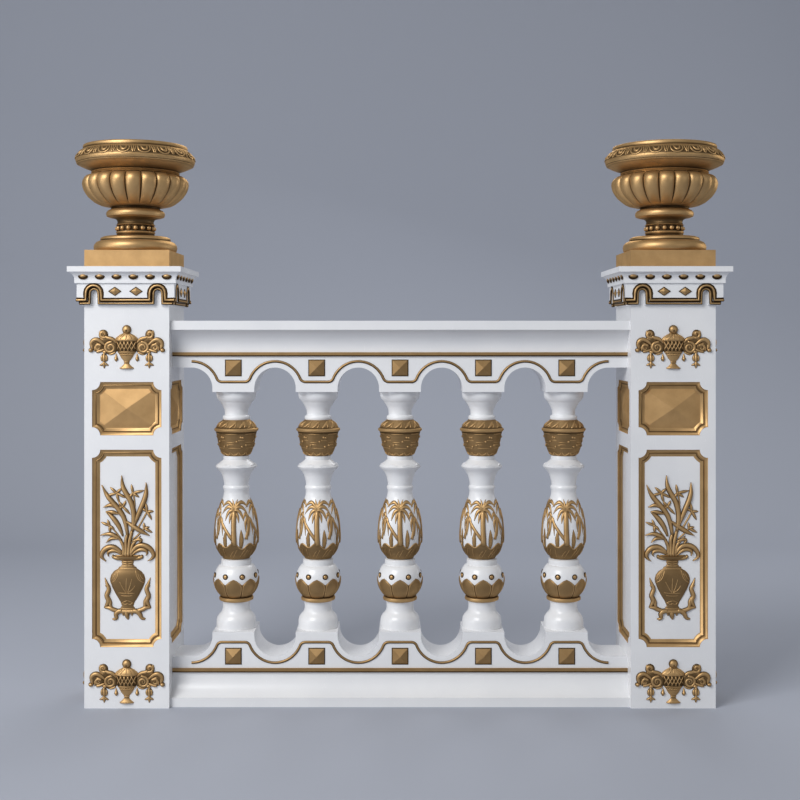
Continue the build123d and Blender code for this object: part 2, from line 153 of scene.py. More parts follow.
def brushed_enamel():
    material, tree, shader = new_material("white_enamel")
    place = add_node(tree, "TexCoord")
    stretch = add_node(tree, "Mapping", Scale=(60, 60, 9))
    brush = add_node(tree, "TexNoise", Scale=6, Detail=5)
    cloud = add_node(tree, "TexNoise", Scale=7, Detail=4)
    tint = add_tints(tree, (0.3, (0.775, 0.782, 0.8, 1)), (0.7, (0.83, 0.834, 0.845, 1)))
    gloss = add_node(tree, "MapRange", To_Min=0.22, To_Max=0.3)
    bump = add_node(tree, "Bump", Strength=0.02, Distance=mm)
    wire(
        tree, (place, "Object", stretch, "Vector"), (stretch, "Vector", brush, "Vector"),
        (place, "Object", cloud, "Vector"), (cloud, "Fac", tint, "Fac"),
        (tint, "Color", shader, "Base Color"), (brush, "Fac", gloss, "Value"),
        (gloss, "Result", shader, "Roughness"), (brush, "Fac", bump, "Height"),
        (bump, "Normal", shader, "Normal"),
    )
    return material


enamel = brushed_enamel()
for side in sides:
    paint(nodes[f"{side}_post_shaft"], enamel)


# Panel frames: a reeded moulding round each sunk panel, picked out in gold. The gold is a bronze paint
# with a metal glint, and its colour carries painted shade: darker in hollows and on flanks, bright on
# crests.
def gold_with_painted_shade(name, reads_painted_shade, gloss_range, painted_shade_share=1.0):
    """Bronze paint, darkened by stored painted shade if asked, and all over by a share as painted shade."""
    material, tree, shader = new_material(name)
    shader.inputs["Metallic"].default_value = 0.78
    shader.inputs["Specular Tint"].default_value = (0.8, 0.62, 0.42, 1)
    place = add_node(tree, "TexCoord")
    cloud = add_node(tree, "TexNoise", Scale=26, Detail=6)
    dull = (0.5 * painted_shade_share, 0.315 * painted_shade_share, 0.14 * painted_shade_share, 1)
    bright = (0.62 * painted_shade_share, 0.4 * painted_shade_share, 0.185 * painted_shade_share, 1)
    tint = add_tints(tree, (0.3, dull), (0.72, bright))
    grain = add_node(tree, "TexNoise", Scale=420, Detail=3)
    gloss = add_node(tree, "MapRange", To_Min=gloss_range[0], To_Max=gloss_range[1])
    bump = add_node(tree, "Bump", Strength=0.12, Distance=0.4 * mm)
    wire(
        tree, (place, "Object", cloud, "Vector"), (place, "Object", grain, "Vector"),
        (cloud, "Fac", tint, "Fac"), (grain, "Fac", gloss, "Value"), (gloss, "Result", shader, "Roughness"),
        (grain, "Fac", bump, "Height"), (bump, "Normal", shader, "Normal"),
    )
    if not reads_painted_shade:
        wire(tree, (tint, "Color", shader, "Base Color"))
        return material
    # Painted shade: the gold is mixed towards a near-black brown by the shade stored on the piece.
    painted_shade_node = add_node(tree, "VertexColor")
    painted_shade_node.layer_name = "hollows"
    depth = add_node(tree, "MapRange", From_Min=0.1, From_Max=0.85)
    shaded_tint = add_node(tree, "Mix")
    shaded_tint.data_type = "RGBA"
    shaded_tint.inputs["A"].default_value = (0.05, 0.028, 0.012, 1)
    wire(
        tree, (painted_shade_node, "Color", depth, "Value"), (depth, "Result", shaded_tint, "Factor"),
        (tint, "Color", shaded_tint, "B"), (shaded_tint, "Result", shader, "Base Color"),
    )
    return material


flat_gold = gold_with_painted_shade("gold_paint_flat", False, (0.58, 0.68))
# The strips and studs take the same gold at two thirds of its brightness, as painted shade.
strip_gold = gold_with_painted_shade("gold_paint_strips", False, (0.52, 0.62), painted_shade_share=0.66)
carved_gold = gold_with_painted_shade("gold_paint_carved", True, (0.4, 0.52))


def only(*pieces):
    """Selects these pieces and nothing else, with the first of them active."""
    deselect()
    for piece in pieces:
        piece.select_set(True)
    bpy.context.view_layer.objects.active = pieces[0]


def joined(*pieces):
    only(*pieces)
    bpy.ops.object.join()
    return bpy.context.object


def copy_of(piece):
    only(piece)
    bpy.ops.object.duplicate()
    return bpy.context.object


def open_edit():
    """Opens the active piece for editing, with all of it selected."""
    bpy.ops.object.mode_set(mode="EDIT")
    bpy.ops.mesh.select_all(action="SELECT")


def close_edit():
    bpy.ops.object.mode_set(mode="OBJECT")


def weld(distance):
    """Merges the points of the active piece that lie this close, and turns its faces outwards."""
    open_edit()
    bpy.ops.mesh.remove_doubles(threshold=distance)
    bpy.ops.mesh.normals_make_consistent(inside=False)
    close_edit()


def smooth(crease):
    """Smooths the active piece, apart from edges that turn by more than this many degrees."""
    bpy.ops.object.shade_smooth_by_angle(angle=radians(crease))


def shades(piece):
    """Pairs a piece's points with the stored painted shade and tone its paint reads, adding them if missing.
    """
    stored = piece.data.color_attributes.get("hollows")
    if stored is None:
        stored = piece.data.color_attributes.new("hollows", "FLOAT_COLOR", "POINT")
    return zip(piece.data.vertices, stored.data)


def paint_shade_in_hollows(piece):
    """Stores how far each point lies in a hollow, as painted shade that keeps the paint dark there."""
    only(piece)
    shades(piece)
    piece.data.color_attributes.active_color_index = 0
    bpy.ops.object.mode_set(mode="VERTEX_PAINT")
    bpy.ops.paint.vertex_color_dirt(
        blur_iterations=0, dirt_angle=radians(62), clean_angle=radians(92), normalize=False
    )
    close_edit()


def set_piece(piece, name, node=None, material=carved_gold):
    """Names a finished piece, sets it on the part in place of the solids that it dresses, and paints it."""
    piece.name = name
    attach(piece, "root")
    if node:
        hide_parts(node)
    paint(piece, material)


def post_axis(side):
    low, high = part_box(f"{side}_post_shaft")
    return (low[0] + high[0]) / 2


post_low, post_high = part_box("left_post_shaft")
half_post = (post_high[0] - post_low[0]) / 2
outer_turn = {"left": 270, "right": 90}
inner_turn = {"left": 90, "right": 270}


def round_posts(pattern, name, stand_off, node=None, inner_faces=True):
    """Copies a pattern made facing the front onto the faces of both posts, as one piece for each post."""
    made = []
    for side in sides:
        copies = []
        for turn in [0, 180, outer_turn[side]] + ([inner_turn[side]] if inner_faces else []):
            copy = copy_of(pattern)
            facing = Matrix.Rotation(radians(turn), 4, "Z")
            copy.matrix_world = (
                Matrix.Translation((post_axis(side), 0, 0)) @ facing @ Matrix.Translation((0, -stand_off, 0))
            )
            copies.append(copy)
        piece = joined(*copies)
        bpy.ops.object.transform_apply()
        set_piece(piece, f"{side}_{name}", node and f"{side}_{node}")
        made.append(piece)
    bpy.data.objects.remove(pattern)
    return made


panel_width = 0.188
panel_notch = 0.022
frame_steps = (
    (0.4, -2.0), (3.0, -2.4), (3.0, -1.4), (1.0, -0.1), (0.6, -1.1), (1.4, 0.8), (1.6, 0.1), (1.4, -0.9),
    (3.0, -2.8), (2.4, -1.3), (1.4, -0.4),
)
upper_panel = (0.7395, 0.884)
lower_panel = (0.166, 0.7005)
corner_steps = 8
ring_points = 4 * (corner_steps + 1)


def notched_point(place, height, inset):
    """A point on a panel's outline with hollow corners, once the outline is drawn in by the inset."""
    corner, step = divmod(place, corner_steps + 1)
    across, along = ((1, 1), (-1, 1), (-1, -1), (1, -1))[corner]
    radius = panel_notch + inset
    first = asin(inset / radius)
    swing = first + (pi / 2 - 2 * first) * step / corner_steps
    if across == along:
        swing = pi / 2 - swing
    return across * (panel_width / 2 - radius * cos(swing)), along * (height / 2 - radius * sin(swing))


insets = [sum(width for width, rise in frame_steps[:step]) * mm for step in range(len(frame_steps) + 1)]
depths = [-sum(rise for width, rise in frame_steps[:step]) * mm for step in range(len(frame_steps) + 1)]
frames = []
for bottom, top in (upper_panel, lower_panel):
    deselect()
    bpy.ops.mesh.primitive_grid_add(x_subdivisions=ring_points, y_subdivisions=len(frame_steps), size=1)
    moulding = bpy.context.object
    for vertex in moulding.data.vertices:
        place = round((vertex.co.x + 0.5) * ring_points) % ring_points
        step = round((vertex.co.y + 0.5) * len(frame_steps))
        across, up = notched_point(place, top - bottom, insets[step])
        vertex.co = (across, depths[step], up + (bottom + top) / 2)
    weld(0.01 * mm)
    frames.append(moulding)
frame_sunk = 0.4 * mm
for piece in round_posts(joined(*frames), "panel_frames", half_post - frame_sunk):
    only(piece)
    smooth(35)
    paint_shade_in_hollows(piece)

# Pyramid bosses: flat-sided points that fill the upper panels on all four faces, cast with the post and
# painted a plain gold.
for side in sides:
    paint(nodes[f"{side}_pyramid_bosses"], flat_gold)


# Vase reliefs: a flower vase on a scrolled stand, cast with the post and carved up with half-round
# strokes that thin out to points, like modelled plaster. The panels that face the rails stay plain. Sizes
# are in millimetres from the centre line and from the ground.
def grey(bright):
    return bright, bright, bright, 1


def tone(piece, bright):
    """Stores one brightness for the whole of a small form, such as the painted shade of a dark sunk rim."""
    for vertex, shade in shades(piece):
        shade.color = grey(bright)


def paint_light_by_facing(piece, lowest, highest, lean=0.0):
    """Stores painted light and shade on a carving: brighter as it faces out, and up by the lean, dark on
    flanks.
    """
    for vertex, shade in shades(piece):
        facing = lean * vertex.normal.z - vertex.normal.y
        shade.color = grey(min(max((facing - lowest) / (highest - lowest), 0), 1))


def new_ridge(name, half, rounds):
    """Starts a round ridge that follows the lines of a curve, and gives the curve."""
    deselect()
    bpy.ops.curve.primitive_nurbs_path_add()
    bpy.context.object.name = name
    curve = bpy.context.object.data
    curve.splines.clear()
    curve.dimensions = "3D"
    curve.bevel_depth = half
    curve.bevel_resolution = rounds
    curve.use_fill_caps = True
    return curve


def flatten(piece, share):
    """Presses a piece flat towards the plane that faces the front."""
    piece.scale = (1, share, 1)
    bpy.ops.object.transform_apply()


def carve(name, strokes, depth, rounds=2, along=5, swell=1.0, crest=1.0):
    """Half-round ridges along smooth lines of (across, up, half width) points, facing the front."""
    curve = new_ridge(name, mm, rounds)
    for stroke in strokes:
        line = curve.splines.new("NURBS")
        line.points.add(len(stroke) - 1)
        for point, (across, up, half) in zip(line.points, stroke):
            point.co = (across * mm, 0, up * mm, 1)
            point.radius = swell * half
        line.use_endpoint_u = True
        line.order_u = 3
        line.resolution_u = along
    bpy.ops.object.convert(target="MESH")
    ridge = bpy.context.object
    weld(0.05 * mm)
    flatten(ridge, depth)
    bpy.ops.object.shade_smooth()
    # Painted shade on the flanks and painted highlight on the crests, by how each point faces.
    flank, slope = 0.12, 0.58
    paint_light_by_facing(ridge, flank, flank + slope / crest)
    return ridge


def turn_profile(name, outline, steps=48):
    """Spins an outline of (radius, height) millimetres about the upright axis."""
    deselect()
    bpy.ops.mesh.primitive_plane_add(size=mm, location=(0, 0, 0))
    turning = bpy.context.object
    turning.name = name
    open_edit()
    bpy.ops.mesh.select_mode(type="VERT")
    bpy.ops.mesh.select_all(action="SELECT")
    bpy.ops.mesh.merge(type="CENTER")
    bpy.ops.mesh.select_all(action="SELECT")
    radius, height = outline[0]
    bpy.ops.transform.translate(value=(radius * mm, 0, height * mm))
    for (radius, height), (next_radius, next_height) in zip(outline, outline[1:]):
        step = ((next_radius - radius) * mm, 0, (next_height - height) * mm)
        bpy.ops.mesh.extrude_vertices_move(TRANSFORM_OT_translate={"value": step})
    bpy.ops.mesh.select_all(action="SELECT")
    bpy.ops.mesh.spin(steps=steps, angle=2 * pi, center=(0, 0, 0), axis=(0, 0, 1))
    weld(0.02 * mm)
    return turning


def half_round(name, outline, depth):
    """A turned form cut in half down its length and pressed nearly flat, facing the front."""
    form = turn_profile(name, outline, steps=32)
    open_edit()
    bpy.ops.mesh.bisect(plane_co=(0, 0, 0), plane_no=(0, 1, 0), clear_outer=True)
    close_edit()
    flatten(form, depth)
    smooth(40)
    return form


def radius_at(outline, height):
    """The radius of a turned form at a height, along its outline."""
    for (low_radius, low), (high_radius, high) in zip(outline, outline[1:]):
        if low <= height <= high and high > low:
            return low_radius + (high_radius - low_radius) * (height - low) / (high - low)
    return outline[-1][0]


def lay_on(piece, outline, depth, sunk):
    """Moves flat carving out onto a half-round form, a little sunk into it."""
    for vertex in piece.data.vertices:
        reach = radius_at(outline, vertex.co.z / mm) * mm
        vertex.co.y -= depth * sqrt(max(reach ** 2 - vertex.co.x ** 2, 0)) - sunk


def both_sides(strokes):
    return strokes + [[(-across, up, half) for across, up, half in stroke] for stroke in strokes]


def star_flower(across, up, *tips):
    """A flower whose pointed petals reach out from a small raised heart."""
    petals = []
    for tip_across, tip_up in tips:
        mid_across = (across + tip_across) / 2
        mid_up = (up + tip_up) / 2
        petals.append([(across, up, 1.4), (mid_across, mid_up, 4.6), (tip_across, tip_up, 0.3)])
    heart = [(across - 3, up - 2, 1.4), (across, up, 4.4), (across + 3, up + 2, 1.4)]
    return petals + [heart]


vase_body = [
    (15.6, 262), (19.5, 264), (19.5, 271), (15.6, 275), (20, 287), (31, 305), (41, 324), (47, 340),
    (48, 349), (45, 360), (37, 370), (25, 377), (24, 381), (16.5, 384), (15, 391), (16.5, 395),
    (15.6, 399), (24, 401), (36, 403), (38.5, 406), (36, 410), (20, 411),
]
vase_stand = [
    [(-3, 264, 4), (-3, 254, 5.4), (0, 243, 3.4), (1, 238, 1)],
    [(-14, 262, 4.4), (-26, 262, 5), (-33, 252, 4.4), (-29, 242, 3.4), (-38, 238, 2.4), (-41, 241, 1.4)],
    [(14, 262, 4.4), (26, 262, 5), (34, 252, 4.4), (37, 243, 3.4), (45, 239, 2.4), (48, 242, 1.4)],
    [(-26, 262, 4), (-10, 260, 4.6), (10, 260, 4.6), (26, 262, 4)],
] + both_sides([
    [(12, 259, 1.4), (12, 253, 2.8), (12, 248, 0.8)],
    [(24, 262, 3.4), (38, 264, 4.4), (50, 272, 4), (62, 271, 2)],
])
vase_brackets = both_sides([
    [(63, 270, 1.4), (55, 280, 4), (51, 290, 4.6), (58, 302, 4.4), (54, 312, 4.4), (50, 322, 4),
     (56, 334, 3.4), (62, 352, 0.6)],
    [(40, 265, 2), (48, 274, 3.4), (46, 288, 3.4), (52, 300, 2.2)],
    [(48, 322, 1.4), (54, 326, 3), (60, 332, 1.6)],
])
vase_plumes = [
    [(8, 416, 3), (19, 435, 4.4), (38, 442, 5), (58, 435, 5), (71, 418, 4), (69, 404, 3), (55, 398, 0.6)],
    [(10, 412, 2), (24, 426, 3.6), (42, 430, 4), (56, 422, 3), (50, 412, 0.6)],
    [(-15, 418, 3), (-29, 433, 4.4), (-46, 437, 5), (-63, 430, 5), (-72, 415, 4), (-69, 404, 3),
     (-58, 397, 0.6)],
    [(-10, 412, 2), (-24, 423, 3.6), (-42, 427, 4), (-57, 419, 3), (-51, 410, 0.6)],
]
vase_stems = [
    [(-12, 410, 3.6), (-9, 432, 3), (-18, 452, 3.4), (-24, 462, 1)],
    [(-5, 410, 4), (-4, 434, 3), (-6, 456, 3.6), (0, 470, 3)],
    [(2, 410, 4), (3, 434, 3), (6, 456, 4), (12, 480, 3)],
    [(10, 410, 3.6), (9, 432, 3), (18, 450, 3.4), (36, 466, 0.8)],
]
vase_blades = [
    [(0, 465, 3), (-5, 507, 4.4), (-22, 536, 5), (-40, 556, 5), (-59, 578, 4.4), (-70, 604, 0.4)],
    [(12, 478, 3), (17, 500, 4.4), (17, 529, 5), (10, 558, 5), (-4, 580, 5), (-16, 603, 4.4),
     (-16, 630, 0.4)],
    [(16, 490, 2), (25, 513, 4), (34, 536, 5), (45, 561, 5), (52, 589, 4), (50, 611, 0.4)],
    [(-4, 505, 2), (8, 496, 4), (25, 485, 5), (44, 474, 4), (60, 466, 0.4)],
    [(-13, 465, 2), (-20, 485, 4), (-30, 502, 5), (-44, 520, 4.4), (-59, 531, 1)],
    [(-59, 531, 1), (-46, 531, 4), (-34, 528, 4), (-20, 525, 0.6)],
    [(-66, 543, 0.4), (-54, 548, 3.4), (-41, 550, 4), (-22, 536, 1)],
    [(-74, 467, 0.4), (-54, 473, 4), (-32, 466, 4.4), (-16, 453, 2)],
    [(-58, 447, 0.4), (-50, 456, 3), (-40, 460, 3.4), (-24, 458, 2)],
    [(30, 446, 0.6), (40, 452, 3.4), (30, 458, 3.4), (12, 450, 2)],
]
vase_flowers = (
    star_flower(-30, 582, (-48, 598), (-58, 574), (-16, 595), (-3, 568), (-24, 556))
    + star_flower(14, 582, (10, 606), (46, 589), (32, 570), (2, 566))
    + star_flower(-13, 545, (8, 523), (-26, 560), (-4, 562), (-31, 537))
    + star_flower(53, 532, (49, 556), (71, 532), (66, 508), (36, 542))
    + star_flower(-49, 493, (-73, 503), (-55, 510), (-35, 482), (-48, 473))
    + star_flower(45, 486, (44, 502), (68, 474), (60, 490))
)
vase_stalks = [
    [(53, 532, 1.6), (42, 510, 1.8), (26, 484, 1.6)],
    [(14, 582, 1.4), (22, 556, 1.8), (18, 528, 1.4)],
    [(-30, 582, 1.4), (-22, 562, 1.8), (-20, 536, 1.4)],
    [(-49, 493, 1.4), (-36, 482, 1.8), (-20, 460, 1.4)],
    [(45, 486, 1.4), (32, 470, 1.8), (14, 456, 1.4)],
]
vase_lines = both_sides([
    [(46, 338, 0.8), (34, 344, 1.5), (26, 356, 1.5), (22, 374, 0.8)],
    [(44, 348, 0.6), (38, 352, 1.2), (34, 362, 0.6)],
    [(38, 346, 0.6), (32, 352, 1.2), (29, 364, 0.6)],
    [(0, 283, 1.1), (7, 276, 1.1), (13, 284, 1.1)],
    [(18, 281, 0.6), (12, 287, 1.2), (0, 290, 1.2)],
]) + [
    [(-24, 312, 0.8), (0, 309, 1.2), (20, 311, 0.8)],
    [(-18, 304, 0.8), (0, 302, 1.2), (15, 304, 0.8)],
    [(-2, 311, 1.2), (-3, 330, 1.5), (-1, 352, 0.5)],
    [(-2, 311, 1.2), (-12, 324, 1.5), (-20, 342, 0.5)],
    [(0, 311, 1.2), (8, 326, 1.5), (13, 350, 0.5)],
    [(0, 311, 1.0), (14, 318, 1.3), (22, 332, 0.5)],
]
vase_rings = both_sides([
    [(0, 384, 1.6), (10, 384.6, 1.6), (18, 386, 1)],
    [(0, 389, 1.6), (9, 390, 1.8), (17, 393, 1)],
    [(0, 395, 1.6), (9, 396, 1.8), (17, 398, 1)],
    [(0, 377, 1.6), (14, 377, 1.8), (26, 376, 1.2)],
    [(0, 267.5, 2), (12, 267.5, 2), (20, 267.5, 1.4)],
])
vase_lip = [
    [(-40, 409, 3), (-34, 405, 4), (0, 403.5, 4), (34, 405, 4), (40, 409, 3)],
    [(-34, 412, 1.4), (0, 410.6, 1.8), (34, 412, 1.4)],
] + both_sides([[(43, 409, 1.5), (39, 409.4, 6), (35, 409, 1.5)]])
vase_depth = 0.22
vein_out = 5.2
vase = half_round("vase_body", vase_body, vase_depth)
tone(vase, 0.4)
vase_foot = vase_stand + vase_brackets + vase_lip
vase_plants = vase_plumes + vase_stems + vase_blades + vase_stalks + vase_flowers
sprays = carve("vase_sprays", vase_foot + vase_plants, 1.1, swell=1.5, crest=0.62)
vein_lines = [[(across, up, 1.0) for across, up, half in blade] for blade in vase_blades + vase_plumes]
veins = carve("blade_veins", vein_lines, 1.0)
for vertex in veins.data.vertices:
    vertex.co.y -= vein_out * mm
drawing = carve("vase_drawing", vase_lines + vase_rings, 1.0)
lay_on(drawing, vase_body, vase_depth, 0.3 * mm)
panel_depth = 12 * mm
flower_vase = joined(vase, sprays, veins, drawing)
round_posts(flower_vase, "flower_vases", half_post - panel_depth, "vase_reliefs", inner_faces=False)


# Cartouches: a lidded cup with lattice sides between curled scrolls, with bellflower drops, above and
# below the panels. Sizes are in millimetres from the centre line and from the foot of the cup.
def volute(across, up, reach, turns, start, half, wind):
    """A spiral ridge that thins as it winds in, and swells a little at its eye."""
    steps_a_turn, wound_in, thinning, eye = 8, 0.86, 0.25, 1.3
    line = []
    steps = int(turns * steps_a_turn)
    for step in range(steps + 1):
        share = step / steps
        radius = reach * (1 - wound_in * share)
        turn = start + wind * turns * 2 * pi * share
        line.append((across + radius * cos(turn), up + radius * sin(turn), half * (1 - thinning * share)))
    return line + [(across, up, half * eye)]


def placed(spot, scale=(1, 1, 1)):
    """Stretches the new primitive, sets it in its place, and gives it."""
    piece = bpy.context.object
    piece.scale = scale
    piece.location = spot
    bpy.ops.object.transform_apply()
    return piece


def swelling(across, up, half_width, half_height, rise, crest):
    """A low round mass behind the scrolls, facing the front."""
    deselect()
    bpy.ops.mesh.primitive_uv_sphere_add(segments=20, ring_count=10, radius=mm, rotation=(pi / 2, 0, 0))
    mass = placed((across * mm, 0, up * mm), (half_width, half_height, rise))
    bpy.ops.object.shade_smooth()
    # Painted shade on the flanks and painted highlight on the crest, by how each point faces.
    flank, slope = 0.2, 0.8
    paint_light_by_facing(mass, flank, flank + slope / crest)
    return mass


cup_body = [
    (19, 3), (19, 5.5), (14, 9), (9, 14), (6.5, 18), (7.5, 20), (7.5, 23.5), (9, 25), (15, 32), (19, 40),
    (22, 45), (24.5, 46.5), (24.5, 49), (26.5, 50), (28.5, 64), (29, 77), (32.7, 79), (32.7, 82),
    (29, 87), (20, 94), (11.5, 98), (9.5, 101),
]
cup_scrolls = both_sides([
    volute(44, 60, 17, 1.75, 1.9, 3.4, -1),
    [(27, 72, 2), (33, 80, 3.8), (42, 85, 4.2), (52, 86, 4.2), (58, 90, 3.4)],
    volute(63, 96, 11, 1.2, -2.2, 3.8, 1),
    [(58, 66, 2), (68, 76, 4.2), (80, 83, 5), (91, 80, 5), (97, 70, 4.2), (96, 60, 2.4)],
    volute(77, 60, 9.5, 1.25, 2.6, 3.4, -1),
    [(60, 56, 2), (70, 50, 3.8), (82, 49, 2.8)],
    [(86, 74, 1.4), (79, 70, 3.4), (70, 68, 1.8)],
    [(88, 66, 1.4), (84, 58, 3.4), (87, 50, 1.4)],
    [(92, 76, 2), (96, 64, 4.2), (92, 54, 2)],
    [(96.5, 58, 3.4), (97, 53, 7.6), (96.5, 48, 3)],
    [(56, 46, 3), (60, 52, 3.4), (64, 46, 2.4)],
    [(52, 78, 1.4), (62, 80, 3.6), (72, 86, 1.4)],
    [(70, 92, 1.4), (74, 100, 3.2), (70, 106, 1.4)],
    [(48, 42, 1.4), (38, 42, 3.2), (30, 48, 1.4)],
])
cup_drops = both_sides([
    [(28.4, 44, 0.8), (28.4, 34, 2.8), (28.4, 28, 5), (28.4, 22.5, 1)],
    [(61, 50, 2), (61, 44, 2.4), (61, 40, 3)],
    [(61, 42, 2), (61, 33, 5), (61, 22, 3)],
    [(58, 41, 1), (52, 34, 4), (56, 24, 2)],
    [(64, 41, 1), (70, 34, 4), (66, 24, 2)],
    [(61, 24, 2), (61, 14, 5), (61, 3.5, 0.6)],
    [(60, 18, 2), (54, 13, 3.4), (48.5, 12, 0.6)],
    [(62, 18, 2), (68, 13, 3.4), (73.5, 12, 0.6)],
])
cup_lattice = both_sides([
    [(across - 14, 53 if across == -13 else 51, 1.5), (across, 77, 1.5)] for across in (-13, -3, 7, 17, 27)
])
cup_leaves = both_sides([
    [(3, 96, 1.2), (10, 92, 3), (16, 83, 1.2)],
    [(10, 96, 1.2), (18, 91, 3), (25, 83, 1.2)],
]) + [[(0, 97, 1.2), (0, 90, 3), (0, 83, 1.2)], [(-30, 80.5, 2), (0, 80.5, 2.2), (30, 80.5, 2)]]
cup_bands = [
    [(-half, up, 1.6), (0, up, middle), (half, up, 1.6)]
    for half, up, middle in ((24, 48, 2), (8, 21.5, 2.2), (19, 4.5, 2))
]
cup_scallops = [
    [(across - 3.4, 44, 1.2), (across, 36, 3.2), (across + 3.4, 44, 1.2)] for across in (-14, -7, 0, 7, 14)
]
scroll_masses = (
    (44, 60, 20, 20), (63, 95, 13, 14), (77, 61, 15, 14), (88, 72, 13, 14), (58, 80, 14, 10),
    (61, 33, 9, 12),
)
mass_rise = 4.2
cup_depth = 0.36
lattice_low = 49.5 * mm
lattice_high = 78 * mm
cup = half_round("cup_body", cup_body, cup_depth)
paint_shade_in_hollows(cup)
# Painted shade: the cup's sides behind the lattice are near black, over the painted shade of its hollows.
for vertex, shade in shades(cup):
    if lattice_low < vertex.co.z < lattice_high:
        shade.color = grey(0.15)
masses = [swelling(0, 109, 12.5, 12.5, 10, 0.9), swelling(0, 106, 4.4, 4.4, 11.5, 0.3)]
for hand in (-1, 1):
    for across, up, wide, high in scroll_masses:
        masses.append(swelling(hand * across, up, wide, high, mass_rise, 0.3))
scrolls = carve("cup_scrolls", cup_scrolls + cup_drops, 1.25, swell=1.3, crest=0.76)
cup_lines = cup_lattice + cup_scallops + cup_leaves + cup_bands
lattice = carve("cup_lattice", cup_lines, 0.9, rounds=1, crest=0.85)
lay_on(lattice, cup_body, cup_depth, 0.4 * mm)
cartouche_bottoms = (0.917, 0.012)
upper_cup = joined(cup, scrolls, lattice, *masses)
lower_cup = copy_of(upper_cup)
upper_cup.location.z, lower_cup.location.z = cartouche_bottoms
only(upper_cup, lower_cup)
bpy.ops.object.transform_apply()
round_posts(joined(upper_cup, lower_cup), "cup_cartouches", half_post, "cartouches", inner_faces=False)

# Capitals: cast in one and enamelled white, the corbel picked out with two gold reeds that turn up round
# two arches on every side, with a row of gold ovals in the cove and two diamonds on the frieze.
for side in sides:
    paint(nodes[f"{side}_capital"], enamel)


def reed_path(reach, level, radius):
    """The line of one reed across a face, out of the corner, up round both arches and on to the corner."""
    half = [(reach, level)]
    for step in range(arch_steps + 1):
        swing = step * pi / arch_steps
        half.append((corbel_arch_at + radius * cos(swing), corbel_springing + radius * sin(swing)))
    right = [half[0], (half[1][0], level)] + half[1:] + [(half[-1][0], level)]
    return right + [(-across, up) for across, up in reversed(right)]


def swept_line(name, paths, half, depth, dark, bright, lean=0.4):
    """A half-round bead along straight and round stretches, facing the front, with painted light and shade.
    """
    curve = new_ridge(name, half * mm, 2)
    for path, stand_off in paths:
        line = curve.splines.new("POLY")
        line.points.add(len(path) - 1)
        for point, (across, up) in zip(line.points, path):
            point.co = (across * mm, -stand_off * mm / depth, up * mm, 1)
    bpy.ops.object.convert(target="MESH")
    bead = bpy.context.object
    flatten(bead, depth)
    open_edit()
    bpy.ops.mesh.normals_make_consistent(inside=False)
    close_edit()
    smooth(50)
    # Painted shade on the lower flanks and painted highlight on the crest and upper flank.
    paint_light_by_facing(bead, dark, bright, lean)
    return bead


def raise_face(rise):
    """Opens a flat piece for editing and raises its face towards the front."""
    bpy.ops.object.mode_set(mode="EDIT")
    bpy.ops.mesh.select_mode(type="FACE")
    bpy.ops.mesh.select_all(action="SELECT")
    bpy.ops.mesh.extrude_region_move(TRANSFORM_OT_translate={"value": (0, -rise, 0)})


shaft_top = 1092
frieze_face = 131.5
arch_steps = 8
corbel_arch = 7.7
corbel_arch_at = 86
corbel_springing = shaft_top + 32
lower_reed = (4.2, 124.5)
groove = (8.6, 126)
upper_reed = (12.9, frieze_face)
outer_edge = (17.6, frieze_face)
reeds = []
for rise, stand_off in (lower_reed, upper_reed, groove, outer_edge):
    reeds.append((reed_path(stand_off, shaft_top + rise, corbel_arch + rise), stand_off))
gold_reeds = swept_line("corbel_reeds", reeds[:2], 3.6, 0.75, 0.6, 1.0)
# Painted shade: dark lines in the groove between the reeds and along the arches' outer edge, where shadow
# falls.
painted_shade_lines = swept_line("corbel_shade_lines", reeds[2:], 2.9, 0.5, 2, 3)
round_posts(joined(gold_reeds, painted_shade_lines), "corbel_reeds", 0)

diamond_size = (36, 25)
diamond_at = (28.5, 1129)
diamond_rise = 1.6 * mm
diamond_rim = 1.6 * mm
diamond_dip = 1.2 * mm
diamond_seam = 1.0 * mm
diamond_point = 5 * mm
diamond_inner = 0.8
diamonds = []
for across in (-diamond_at[0], diamond_at[0]):
    deselect()
    bpy.ops.mesh.primitive_circle_add(vertices=4, radius=0.5, fill_type="NGON", rotation=(pi / 2, 0, 0))
    spot = (across * mm, -frieze_face * mm, diamond_at[1] * mm)
    diamond = placed(spot, (diamond_size[0] * mm, diamond_size[1] * mm, 1))
    raise_face(diamond_rise)
    bpy.ops.mesh.inset(thickness=diamond_rim, depth=-diamond_dip)
    bpy.ops.mesh.inset(thickness=diamond_seam, depth=0)
    bpy.ops.mesh.poke(offset=diamond_point)
    close_edit()
    diamonds.append(diamond)
pair = joined(*diamonds)
# Painted shade: each diamond's rim is near black, and its middle a little under full brightness.
for vertex, shade in shades(pair):
    across = 2 * (abs(vertex.co.x) / mm - diamond_at[0]) / diamond_size[0]
    up = 2 * (vertex.co.z / mm - diamond_at[1]) / diamond_size[1]
    shade.color = grey(0.03 if abs(across) + abs(up) > diamond_inner else 0.8)
round_posts(pair, "frieze_diamonds", 0)

